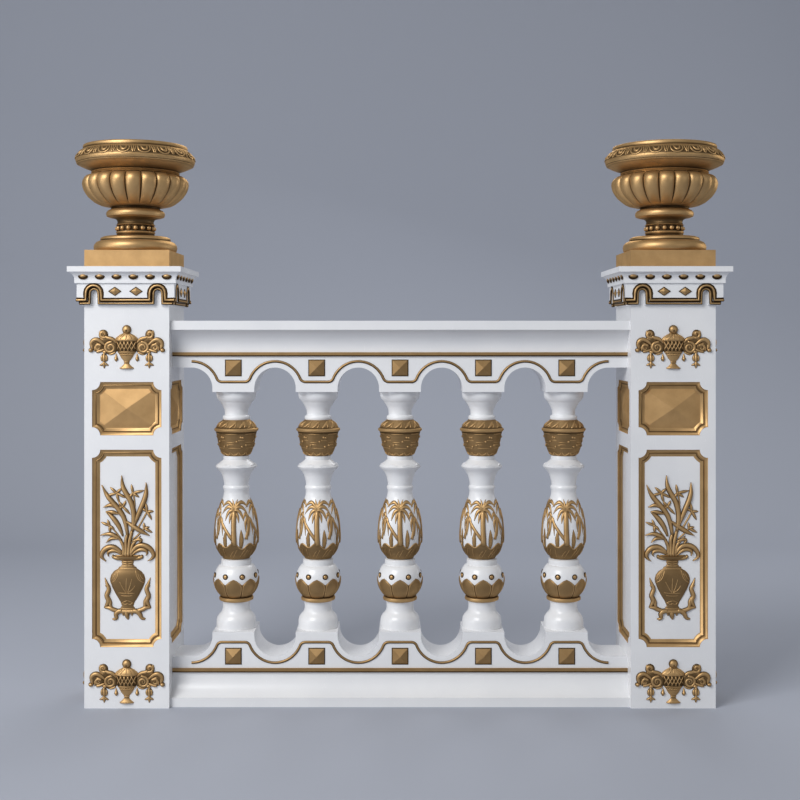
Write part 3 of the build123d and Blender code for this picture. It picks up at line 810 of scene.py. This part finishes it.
oval_size = (24, 8, 16)
oval_count = 6
oval_pitch = 45
oval_level = 1169.5
cove_face = 138.0
dome_share = 0.8
dome_out = 0.8
ovals = []
for place in range(oval_count):
    across = (place - (oval_count - 1) / 2) * oval_pitch
    deselect()
    bpy.ops.mesh.primitive_uv_sphere_add(segments=20, ring_count=10, radius=0.5, rotation=(pi / 2, 0, 0))
    dome = placed(
        (across * mm, -(cove_face + dome_out) * mm, oval_level * mm),
        (dome_share * oval_size[0] * mm, dome_share * oval_size[2] * mm, oval_size[1] * mm),
    )
    # Painted highlight on each dome, brightest where it faces out and up.
    paint_light_by_facing(dome, 0.5, 1.2, 0.5)
    bpy.ops.mesh.primitive_torus_add(
        major_segments=24, minor_segments=8, major_radius=0.46, minor_radius=0.11, rotation=(pi / 2, 0, 0)
    )
    rim = placed(
        (across * mm, -cove_face * mm, oval_level * mm),
        (oval_size[0] * mm, oval_size[2] * mm, 2 * oval_size[1] * mm),
    )
    # Each rim is painted near black as shade.
    tone(rim, 0.02)
    ovals += [dome, rim]
oval_row = joined(*ovals)
bpy.ops.object.shade_smooth()
round_posts(oval_row, "cove_ovals", 0)

# Urns: cast garden urns, painted gold, on square plinths that stand on the capitals. The foot is turned,
# with a collar of beads in sunk rims at its waist.
for side in sides:
    paint(nodes[f"{side}_urn_plinth"], flat_gold)


def on_posts(pattern, name, node):
    """Copies a pattern made on the upright axis onto both posts."""
    for side in sides:
        piece = copy_of(pattern)
        piece.location.x = post_axis(side)
        bpy.ops.object.transform_apply()
        set_piece(piece, f"{side}_{name}", node)
    bpy.data.objects.remove(pattern)


urn_foot = [
    (0, 1242), (108, 1242), (113, 1246), (115, 1254), (113.5, 1262), (108, 1269), (101, 1272.5),
    (97, 1273), (96, 1275), (97, 1278), (95, 1282), (88, 1285), (70, 1286.5), (55, 1287.5), (52, 1289),
    (52, 1294), (54, 1297), (54, 1299), (50.5, 1300.5), (50.5, 1316), (54, 1318), (51, 1321),
    (49.5, 1327), (52, 1333), (60, 1337.5), (72, 1339.5), (79, 1342), (80.7, 1347), (80, 1353),
    (76, 1358), (70, 1361), (67, 1363), (67, 1367), (73, 1369.5), (0, 1369.5),
]
foot = turn_profile("urn_foot", urn_foot, steps=64)
smooth(45)
paint_shade_in_hollows(foot)
bead_count = 16
waist_radius = 50 * mm
waist_level = 1308.2 * mm
bead_radius = 6.6 * mm
bead_rim = (7.8 * mm, 1.7 * mm)
waist_beads = []
for place in range(bead_count):
    turn = 2 * pi * (place + 0.5) / bead_count
    spot = (waist_radius * sin(turn), -waist_radius * cos(turn), waist_level)
    deselect()
    bpy.ops.mesh.primitive_uv_sphere_add(segments=14, ring_count=8, radius=bead_radius, location=spot)
    bpy.ops.object.shade_smooth()
    # Each bead keeps its full brightness, and its sunk rim is painted near black as shade.
    tone(bpy.context.object, 1)
    waist_beads.append(bpy.context.object)
    bpy.ops.mesh.primitive_torus_add(
        major_segments=20, minor_segments=6, major_radius=bead_rim[0], minor_radius=bead_rim[1],
        location=spot, rotation=(pi / 2, 0, turn),
    )
    bpy.ops.object.shade_smooth()
    tone(bpy.context.object, 0.02)
    waist_beads.append(bpy.context.object)
on_posts(joined(foot, *waist_beads), "beaded_foot", "urn_feet")

# Urn bowls: hollow castings that sit on the feet, each with a ring of twenty gadroons under a flared rim,
# and an egg and leaf band in relief on the rim.
urn_bowl = [
    (0, 1369.5), (70, 1369.5), (86, 1370.5), (100, 1374), (112, 1380), (122, 1388), (130.5, 1396),
    (137, 1405), (142, 1413.5), (145, 1422), (146.7, 1432), (145.7, 1440), (142, 1447), (136, 1452),
    (128, 1455), (120, 1456), (120.4, 1457.4), (121.6, 1458.8), (120.4, 1460.2), (119.4, 1461),
    (120.8, 1462), (121.8, 1463.4), (120.6, 1464.8), (119.6, 1466), (121, 1468.4), (125, 1471),
    (131, 1473.4), (141, 1477), (151, 1481.4), (157, 1484.6), (160.4, 1486), (161, 1487.2),
    (160.2, 1488.4), (161.6, 1489.6), (163.2, 1493), (163.8, 1497), (163, 1501), (160, 1509),
    (154.5, 1517), (147.6, 1524), (144.6, 1525.6), (143.4, 1527.4), (143.8, 1533), (142.6, 1537),
    (139.6, 1538), (134, 1537.6), (129, 1534), (124, 1520), (107.5, 1470), (106, 1450), (54, 1406.5),
    (0, 1406.5),
]
lobe_count = 20
lobe_low = 1369.6 * mm
lobe_high = 1455.5 * mm
groove_depth = 11 * mm
groove_power = 0.55
groove_start = 70 * mm
groove_run = 50 * mm
inside_start = 60 * mm
inside_slope = 0.72
bowl = turn_profile("urn_bowl", urn_bowl, steps=240)
for vertex in bowl.data.vertices:
    across, deep, up = vertex.co
    reach = hypot(across, deep)
    if lobe_low < up < lobe_high and reach > inside_slope * (up - lobe_low) + inside_start:
        roundness = abs(sin(lobe_count * atan2(across, -deep) / 2))
        sink = groove_depth * (1 - roundness ** groove_power) * min(1, (reach - groove_start) / groove_run)
        sink = max(sink, 0)
        vertex.co.x -= sink * across / reach
        vertex.co.y -= sink * deep / reach
smooth(60)
paint_shade_in_hollows(bowl)
# Painted shade: the ground of the egg and leaf band on the rim is darkened between the strokes.
band_low = 1500 * mm
band_high = 1523 * mm
band_inside = 140 * mm
for vertex, shade in shades(bowl):
    if band_low < vertex.co.z < band_high and hypot(vertex.co.x, vertex.co.y) > band_inside:
        shade.color = grey(0.25)


def wrap(piece, outline, unrolled_radius):
    """Bends flat carving that faces the front round a turned form, and gives it."""
    for vertex in piece.data.vertices:
        swing = vertex.co.x / (unrolled_radius * mm)
        reach = radius_at(outline, vertex.co.z / mm) * mm - vertex.co.y
        vertex.co.x = reach * sin(swing)
        vertex.co.y = -reach * cos(swing)
    return piece


def moved(strokes, across, up=0):
    return [[(start + across, level + up, half) for start, level, half in stroke] for stroke in strokes]


def repeated(strokes, count, pitch, start=0, up=0):
    """Repeats strokes along a band, a pitch apart."""
    return [stroke for place in range(count) for stroke in moved(strokes, start + place * pitch, up)]


rim_slope = urn_bowl[urn_bowl.index((163.8, 1497)):urn_bowl.index((144.6, 1525.6)) + 1]
rim_radius = 155
egg_count = 18
egg_pitch = 2 * pi * rim_radius / egg_count
egg_and_leaf = [
    [(-17, 1522, 1.2), (-17, 1511, 2.6), (-9, 1502, 2.8), (3, 1500.5, 2.8), (14, 1506, 2.6), (17, 1515, 2.2),
     (14, 1522, 1.2)],
    [(-9, 1520, 1.4), (-5, 1511, 3.4), (3, 1508, 4.2), (9, 1513, 3.2), (7, 1520, 1.2)],
    [(20, 1522, 1.2), (22, 1511, 2.4), (26, 1501, 2.6)],
    [(27, 1522, 1.2), (27.5, 1513, 2.2), (27, 1507, 1.2)],
    [(34, 1522, 1.2), (32, 1511, 2.4), (28, 1501, 1.2)],
]
rim_strokes = repeated(egg_and_leaf, egg_count, egg_pitch)
rim_band = wrap(carve("egg_and_leaf", rim_strokes, 1.1, rounds=1, along=4), rim_slope, rim_radius)
on_posts(joined(bowl, rim_band), "gadrooned_bowl", "urn_bowls")

# Rails: a coved coping over an arched beam, cast in white, and the same turned over at the ground. A gold
# strip runs under the cove, and a thin gold bead follows the arches and dips under every stud.
for rail in ("top_rail", "bottom_rail"):
    paint(nodes[rail], enamel)
    paint(nodes[f"{rail}_fillets"], strip_gold)
    paint(nodes[f"{rail}_studs"], strip_gold)

bay_count = 5
rail_half_depth = 65
rail_middle = 525
arch_pitch = 229
arch_springing = 865
bead_half = 3.7
bead_sweep = 74
bead_low = 882.6
bead_corner = 15
sweep_steps = 12
turn_steps = 6
strip_edge_half = 1.6
strip_edge_up = 1.2
corner_up = bead_low + bead_corner - arch_springing
corner_across = sqrt((bead_sweep + bead_corner) ** 2 - corner_up ** 2)
tangent = atan2(corner_up, corner_across)
dip = []
for step in range(sweep_steps + 1):
    swing = pi / 2 + (tangent - pi / 2) * step / sweep_steps
    dip.append((bead_sweep * cos(swing), arch_springing + bead_sweep * sin(swing)))
for step in range(1, turn_steps + 1):
    swing = tangent + pi + (pi / 2 - tangent) * step / turn_steps
    dip.append((corner_across + bead_corner * cos(swing), bead_low + bead_corner + bead_corner * sin(swing)))
dip += [(arch_pitch - across, up) for across, up in reversed(dip)]
wave = []
for place in range(bay_count):
    wave += [((place - bay_count / 2) * arch_pitch + across, up) for across, up in dip[place > 0:]]
wave_below = [(across, 2 * rail_middle - up) for across, up in wave]
for rail, line in (("top_rail", wave), ("bottom_rail", wave_below)):
    bead = swept_line("wave", [(line, rail_half_depth)], bead_half, 0.9, 0.5, 1.3)
    # A thin line painted dark as shade runs along the lower edge of each gold strip.
    strip_low, strip_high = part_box(f"{rail}_fillets")
    strip_shadow_line = [(end / mm, strip_low[2] / mm + strip_edge_up) for end in (strip_low[0], strip_high[0])]
    strip_shadow = swept_line("strip_shadow_line", [(strip_shadow_line, -strip_low[1] / mm)], strip_edge_half, 0.5, 2, 3)
    bead = joined(bead, strip_shadow)
    far = copy_of(bead)
    far.rotation_euler.z = pi
    only(bead, far)
    bpy.ops.object.transform_apply()
    set_piece(joined(bead, far), f"{rail}_bead")

stud_levels = {"top_rail": 0.921, "bottom_rail": 0.129}
border_size = 45.8 * mm
border_rise = 1.2 * mm
border_width = 2.8 * mm
for rail, level in stud_levels.items():
    borders = []
    for place in range(bay_count):
        for face in (0, pi):
            deselect()
            bpy.ops.mesh.primitive_plane_add(size=border_size, rotation=(pi / 2, 0, 0))
            border = bpy.context.object
            raise_face(border_rise)
            bpy.ops.mesh.inset(thickness=border_width, depth=0)
            bpy.ops.mesh.delete(type="FACE")
            close_edit()
            across = (place - (bay_count - 1) / 2) * arch_pitch
            border.matrix_world = (
                Matrix.Rotation(face, 4, "Z")
                @ Matrix.Translation((across * mm, -rail_half_depth * mm, level))
                @ border.matrix_world
            )
            borders.append(border)
    border = joined(*borders)
    bpy.ops.object.transform_apply()
    # The borders are painted dark as shade round the foot of each stud.
    tone(border, 0.08)
    set_piece(border, f"{rail}_stud_borders")

# Balusters: cast in five turned lengths and set between the rails. What repeats is made once on the axis
# and set five times. The foot is a white cushion on the block of the bottom rail.
baluster_places = [(place - (bay_count - 1) / 2) * arch_pitch for place in range(bay_count)]


def set_balusters(pattern, name, node=None, material=carved_gold):
    """Copies a pattern made on the upright axis to the five places between the posts."""
    for place, across in enumerate(baluster_places):
        piece = copy_of(pattern)
        piece.location.x = across * mm
        bpy.ops.object.transform_apply()
        set_piece(piece, f"{name}_{place + 1}", node, material)
    bpy.data.objects.remove(pattern)


turned_foot = [
    (0, 195.3), (55.2, 195.3), (55.4, 210), (54.6, 218), (53, 225), (47.5, 233), (41.5, 239), (39, 244),
    (37.6, 252), (38.2, 261), (39.7, 270), (0, 270),
]
turning = turn_profile("turned_foot", turned_foot)
smooth(40)
set_balusters(turning, "turned_foot", "baluster_feet", enamel)

# Lotus cups: eight gold petals, outlined and veined in relief, that hold the round belly of the body over
# a bright ring. Across is measured round the belly.
belly_radius = 62.2
belly_level = 330


def belly(up):
    """The radius of the round belly at a height."""
    return sqrt(belly_radius ** 2 - (up - belly_level) ** 2)


petal_count = 8
petal_foot = 284
petal_edge = 327
petal_valley = 322
petal_reach = 15
petal_power = 1.3
petal_thin = 0.4
petal_crown = 1.6
crown_power = 0.4
petal_share = 0.55
shell_steps = 8
shell_thick = 1.2
axis_near = 5 * mm
cup_shell = [(0, 270), (40, 270), (43, 271.5), (47, 273), (47.8, 277), (47, 281), (43, 283)]
for step in range(shell_steps + 1):
    up = petal_foot + (petal_edge - petal_foot) * step / shell_steps
    cup_shell.append((belly(up) + shell_thick, up))
cup_shell.append((0, petal_edge))
lotus = turn_profile("lotus_cup", cup_shell, steps=96)
for vertex in lotus.data.vertices:
    across, deep, up = vertex.co
    reach = hypot(across, deep)
    if up > petal_foot * mm and reach > axis_near:
        middle = abs(cos(petal_count * atan2(across, -deep) / 2))
        edge = petal_valley + petal_reach * middle ** petal_power
        up = petal_foot + (up / mm - petal_foot) * (edge - petal_foot) / (petal_edge - petal_foot)
        new_reach = belly(up) + petal_thin + petal_crown * middle ** crown_power
        vertex.co = (across / reach * new_reach * mm, deep / reach * new_reach * mm, up * mm)
smooth(40)
paint_shade_in_hollows(lotus)
for vertex, shade in shades(lotus):
    if vertex.co.z > petal_foot * mm:
        shade.color = [petal_share * part for part in shade.color]
petal = both_sides([
    [(20, 286, 1.2), (22.6, 306, 1.8), (21, 322, 2), (9, 331, 2), (0, 337, 1.4)],
    [(10, 288, 0.8), (9, 308, 1.2), (3, 326, 0.8)],
])
petal_lines = repeated(petal, petal_count, 2 * pi * belly_radius / petal_count)
belly_outline = [(belly(up), up) for up in range(276, 384, 4)]
petals = wrap(carve("petals", petal_lines, 1.2, rounds=1, along=4), belly_outline, belly_radius)
set_balusters(joined(lotus, petals), "lotus_cup", "baluster_cups")

# Bodies: turned in white, with the belly, a collar, the long bulb that carries the palms, a ringed neck and
# a flared skirt, whose petal edges are low ridges.
body_outline = [(0, 312)] + [(belly(up), up) for up in range(312, 368, 4)] + [
    (47, 370), (42, 371), (42.5, 377), (42, 386), (36, 388), (34, 389), (41, 396), (49, 407),
    (54.5, 418), (57.6, 428), (59.2, 440), (59.4, 454), (58.7, 468), (57.4, 484), (55.7, 498),
    (52.3, 513), (48, 528), (44, 540), (41, 548.5), (38.4, 556), (36.2, 563), (34.8, 571), (34.7, 579),
    (37, 584), (37.1, 589), (33.9, 593), (34.6, 601), (36.5, 609), (38.4, 616), (40.6, 622), (44.5, 629),
    (50, 636), (56.5, 642), (58, 645), (54, 650), (47.5, 655), (40, 661), (35.5, 665), (36.2, 670),
    (35.5, 675), (0, 675),
]
turning = turn_profile("turned_body", body_outline, steps=56)
smooth(40)
skirt_radius = 52
skirt = body_outline[body_outline.index((58, 645)):body_outline.index((35.5, 665)) + 1]
lid = [
    [(-14, 649, 0.6), (-6, 652, 2), (6, 652, 2), (14, 649, 0.6)],
    [(-12, 646.6, 0.6), (0, 647.4, 1.5), (12, 646.6, 0.6)],
]
lid_pitch = 2 * pi * skirt_radius / petal_count
lids = repeated(lid, petal_count, lid_pitch, lid_pitch / 2)
petal_edges = wrap(carve("skirt_petals", lids, 1.3, rounds=1, along=5), skirt, skirt_radius)
set_balusters(joined(turning, petal_edges), "turned_body", "baluster_bodies", enamel)

# Dots: small gold studs, each in a sunk rim painted dark as shade, set round the belly over the valleys
# between the petals. They are cast with the body and gilded.
dot_level = 344
dot_radius = 5.6 * mm
dot_press = 0.6
dot_rim = (6.6 * mm, 1.6 * mm)
dot_out = belly(dot_level) + 0.2
dots = []
for place in range(petal_count):
    swing = 2 * pi * (place + 0.5) / petal_count
    spot = (dot_out * mm * sin(swing), -dot_out * mm * cos(swing), dot_level * mm)
    facing = (pi / 2, 0, swing)
    deselect()
    bpy.ops.mesh.primitive_uv_sphere_add(segments=16, ring_count=8, radius=dot_radius, rotation=facing)
    knob = placed(spot, (1, 1, dot_press))
    tone(knob, 1)
    bpy.ops.mesh.primitive_torus_add(
        major_segments=20, minor_segments=6, major_radius=dot_rim[0], minor_radius=dot_rim[1],
        rotation=facing,
    )
    rim = placed(spot)
    # The rim is painted dark as shade.
    tone(rim, 0.1)
    dots += [knob, rim]
dot_ring = joined(*dots)
bpy.ops.object.shade_smooth()
set_balusters(dot_ring, "belly_dots")

# Palms: on each quarter of the bulb a palm stands over low leaves, with another that leans beside it,
# modelled in relief and gilded. Across is measured round the bulb.
bulb_radius = 58
palm_count = 4
palm_pitch = 2 * pi * bulb_radius / palm_count
palm = [
    [(1, 424, 5), (0, 455, 4.4), (-1, 490, 4.4), (0, 520, 5)],
    [(0, 523, 2), (-3, 538, 3.2), (-9, 550, 0.4)],
    [(0, 523, 2), (5, 539, 3.2), (13, 549, 0.4)],
    [(0, 524, 2), (-16, 543, 3.4), (-36, 540, 3), (-50, 526, 0.4)],
    [(0, 524, 2), (17, 543, 3.4), (37, 541, 3), (51, 527, 0.4)],
    [(0, 522, 2), (-15, 532, 3.4), (-32, 526, 3), (-42, 508, 0.4)],
    [(0, 522, 2), (15, 532, 3.4), (33, 526, 3), (44, 509, 0.4)],
    [(0, 520, 2), (-11, 522, 3.4), (-22, 511, 3), (-26, 491, 0.4)],
    [(0, 520, 2), (11, 522, 3.4), (23, 511, 3), (29, 490, 0.4)],
    [(-1, 518, 2), (-8, 512, 3), (-12, 500, 2.4), (-13, 484, 0.4)],
    [(1, 518, 2), (8, 512, 3), (13, 500, 2.4), (14, 486, 0.4)],
    [(-4, 440, 3), (-20, 462, 3), (-36, 484, 2.6), (-46, 500, 2.4)],
    [(-46, 500, 2), (-52, 512, 2.8), (-60, 508, 2.4), (-64, 492, 0.4)],
    [(-46, 500, 2), (-54, 496, 2.8), (-59, 480, 2.2), (-57, 460, 0.4)],
    [(-45, 500, 2), (-47, 488, 2.8), (-46, 470, 2.4), (-48, 448, 0.4)],
    [(-45, 500, 2), (-39, 496, 2.6), (-35, 478, 2.2), (-33, 450, 0.4)],
    [(34, 440, 3), (38, 456, 2.6), (43, 474, 2.4), (40, 496, 2), (36, 516, 0.6)],
]
leaves = [
    [(-24, 416, 4), (-26, 440, 9.6), (-23, 466, 0.5)],
    [(20, 416, 4), (22, 441, 10.4), (20, 468, 0.5)],
]
leaf_veins = [
    [(-24, 420, 1), (-25.5, 440, 1.4), (-23, 462, 0.4)],
    [(-25, 432, 0.8), (-29, 440, 1), (-30, 446, 0.4)],
    [(-25, 432, 0.8), (-21, 440, 1), (-20, 448, 0.4)],
    [(20, 420, 1), (21.5, 441, 1.4), (20, 464, 0.4)],
    [(21, 432, 0.8), (17, 440, 1), (16, 447, 0.4)],
    [(21, 432, 0.8), (25, 440, 1), (26, 448, 0.4)],
]
ground_veins = [
    [(-14, 398, 0.8), (-8, 408, 1.3), (0, 416, 0.5)],
    [(-4, 396, 0.8), (4, 407, 1.3), (9, 419, 0.5)],
    [(20, 396, 0.8), (26, 410, 1.4), (36, 424, 0.5)],
    [(31, 397, 0.8), (36, 409, 1.4), (45, 420, 0.5)],
    [(-34, 397, 0.8), (-31, 409, 1.3), (-32, 421, 0.5)],
]
ground_low = 389
ground_high = 444
ground_steps = 96
ground_mean = 430
scallops = ((7, 8, 0), (3, 4, 1))


def ground_edge(swing):
    """The height of the low leaves' scalloped upper edge round the bulb."""
    return ground_mean + sum(rise * cos(count * swing + start) for rise, count, start in scallops)


palm_lift = 7
palm_strokes = repeated(palm, palm_count, palm_pitch, up=palm_lift)
leaf_strokes = repeated(leaves, palm_count, palm_pitch, up=palm_lift)
vein_strokes = repeated(leaf_veins, palm_count, palm_pitch, up=palm_lift)
vein_strokes += repeated(ground_veins, palm_count, palm_pitch)
bulb = body_outline[body_outline.index((34, 389)):body_outline.index((36.2, 563)) + 1]
fronds = carve("palm_fronds", palm_strokes, 0.5, rounds=1, along=4, swell=1.75, crest=0.7)
growth = carve("palm_leaves", leaf_strokes, 0.3, rounds=2, along=4, crest=0.45)
veins = carve("leaf_veins", vein_strokes, 1.0, rounds=1, along=3)
leaf_vein_out = 1.7 * mm
for vertex in veins.data.vertices:
    vertex.co.y -= leaf_vein_out
brim_drop = 1
brim_half = 2.2
edge_line = []
for step in range(ground_steps + 1):
    swing = 2 * pi * step / ground_steps
    edge_line.append((swing * bulb_radius, ground_edge(swing) - brim_drop, brim_half))
brim = carve("ground_brim", [edge_line], 0.8, rounds=1, along=2)
fronds = wrap(joined(fronds, growth, veins, brim), bulb, bulb_radius)
ground_thick = 1.4
shell = [(radius_at(bulb, up), up) for up in range(ground_low, ground_high + 1, 5)]
ground = turn_profile("palm_ground", shell, steps=ground_steps)
for vertex in ground.data.vertices:
    across, deep, up = vertex.co
    swing = atan2(across, -deep)
    up = ground_low + (up / mm - ground_low) * (ground_edge(swing) - ground_low) / (ground_high - ground_low)
    reach = radius_at(bulb, up) + ground_thick
    vertex.co = (reach * sin(swing) * mm, -reach * cos(swing) * mm, up * mm)
bpy.ops.object.shade_smooth()
tone(ground, 0.42)
set_balusters(joined(fronds, ground), "palm_relief")

# Baskets: turned and gilded, with carved leaves on the sloping lid, woven bands set with small bosses, and a
# scalloped hem. The ring under the lid keeps its full brightness, and the sides and the lid are darker.
basket_outline = [
    (0, 675), (33, 675), (38, 679), (43.5, 686.5), (46.5, 694), (48.2, 700), (49.8, 706), (51, 712),
    (52.2, 718), (53.2, 724), (54.3, 730), (55.4, 736), (57, 742), (59.6, 744), (61.4, 746.5),
    (61.6, 749), (60, 751.5), (57, 753), (54, 757), (47, 766), (39, 774), (37.5, 775.5), (0, 775.5),
]
turning = turn_profile("woven_basket", basket_outline, steps=64)
smooth(35)
paint_shade_in_hollows(turning)
ring_low = 743 * mm
ring_high = 752 * mm
side_share = 0.5
lid_share = 0.62
for vertex, shade in shades(turning):
    if not ring_low < vertex.co.z < ring_high:
        share = side_share if vertex.co.z < ring_low else lid_share
        shade.color = [share * part for part in shade.color]
basket_radius = 54
basket_turn = 2 * pi * basket_radius
boss_places = ((-34, 727), (-34, 702), (20, 728), (8, 716), (39, 706))
boss = [[(-3.4, 0, 1.6), (0, 0.6, 5.4), (3.4, 0, 1.6)]]
cane_places = ((-27, 10, 737), (-24, 2, 714), (-22, 0, 708), (12, 32, 720), (-20, 26, 698))
hem_and_lid = [
    [(-13, 686, 1), (-8, 680, 2.2), (0, 677.5, 2.4), (8, 680, 2.2), (13, 686, 1)],
    [(-14, 755, 1.4), (-6, 760, 4.2), (3, 769, 3.6), (10, 772, 0.8)],
    [(1, 756, 1.4), (7, 761, 4.2), (4, 770, 0.8)],
]
weave_count = 6
hem_count = 12
weave = []
for place in range(weave_count):
    middle = place * basket_turn / weave_count
    for turn, level in boss_places:
        weave += moved(boss, middle + radians(turn) * basket_radius, level)
    for left, right, level in cane_places:
        start = middle + radians(left) * basket_radius
        end = middle + radians(right) * basket_radius
        weave.append([(start, level, 0.6), ((start + end) / 2, level + 0.6, 1.7), (end, level, 0.6)])
weave += repeated(hem_and_lid, hem_count, basket_turn / hem_count)
woven = wrap(carve("weave", weave, 0.9, rounds=1, along=4), basket_outline[1:-1], basket_radius)
set_balusters(joined(turning, woven), "woven_basket", "baluster_baskets")

# Heads: turned in white, a ring and a flared cushion on the lid of each basket, which carry the blocks of
# the top rail.
turned_head = [
    (0, 775.5), (36.5, 775.5), (37.8, 778), (37.8, 784), (36, 786.5), (32.4, 788), (32, 792), (33, 803),
    (37, 812), (41, 819), (43.6, 822.4), (44.2, 824.5), (46, 826), (54, 836), (55.5, 843), (56, 854.7),
    (0, 854.7),
]
turning = turn_profile("turned_head", turned_head)
smooth(40)
set_balusters(turning, "turned_head", "baluster_heads", enamel)
